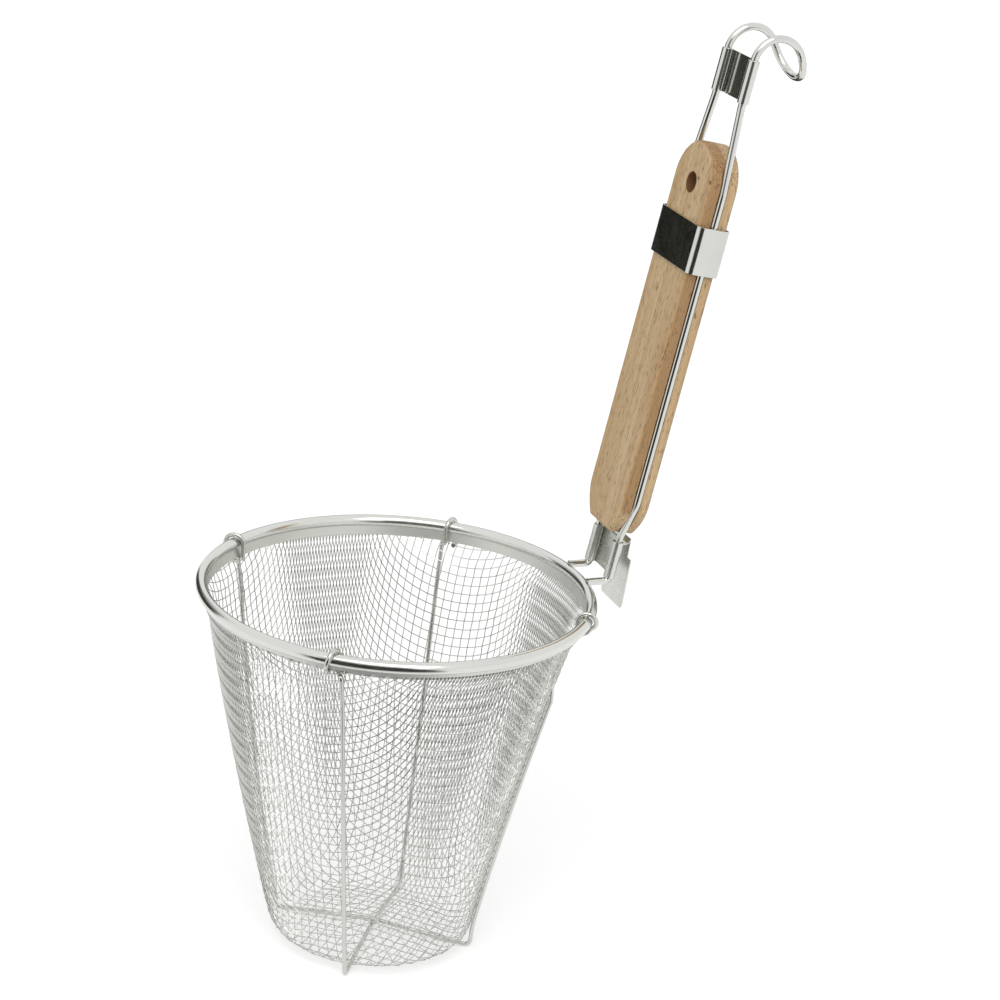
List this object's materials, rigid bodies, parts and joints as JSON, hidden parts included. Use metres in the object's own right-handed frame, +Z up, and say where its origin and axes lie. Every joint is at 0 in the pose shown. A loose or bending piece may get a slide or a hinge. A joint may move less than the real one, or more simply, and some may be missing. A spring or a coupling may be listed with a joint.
{
  "type": "mesh strainer",
  "caption": "Deep conical wire-mesh strainer on crossed cradle wires, with a wire-framed beech handle, a pot hook at the rim and a hanging hook.",
  "frame": {"origin": "under the middle of the whole strainer's bounding box, at the height of its feet", "axes": "+Z up along the basket's axis, +X from the basket towards the handle, +Y across the handle"},
  "size_m": [0.2312, 0.16, 0.3784],
  "materials": {
    "polished_steel": "polished",
    "satin_steel": "satin",
    "drawn_wire": "bright drawn",
    "woven_wire": "bright drawn",
    "beech": "bare sanded"
  },
  "bodies": {
    "strainer": {"rim_band": "polished_steel", "rim_core_wire": "drawn_wire", "mesh_basket": "woven_wire", "cradle_wire_low": "drawn_wire", "cradle_wire_high": "drawn_wire", "handle_wire": "polished_steel", "wood_grip": "beech", "upper_clip": "polished_steel", "pot_hook": "satin_steel"},
    "band": {"grip_band": "polished_steel"}
  },
  "joints": [
    {"name": "band_slide", "type": "slide", "parent": "strainer", "child": "band", "axis": [0.1779, 0, 0.984], "range_m": [-0.095, 0.046]}
  ]
}
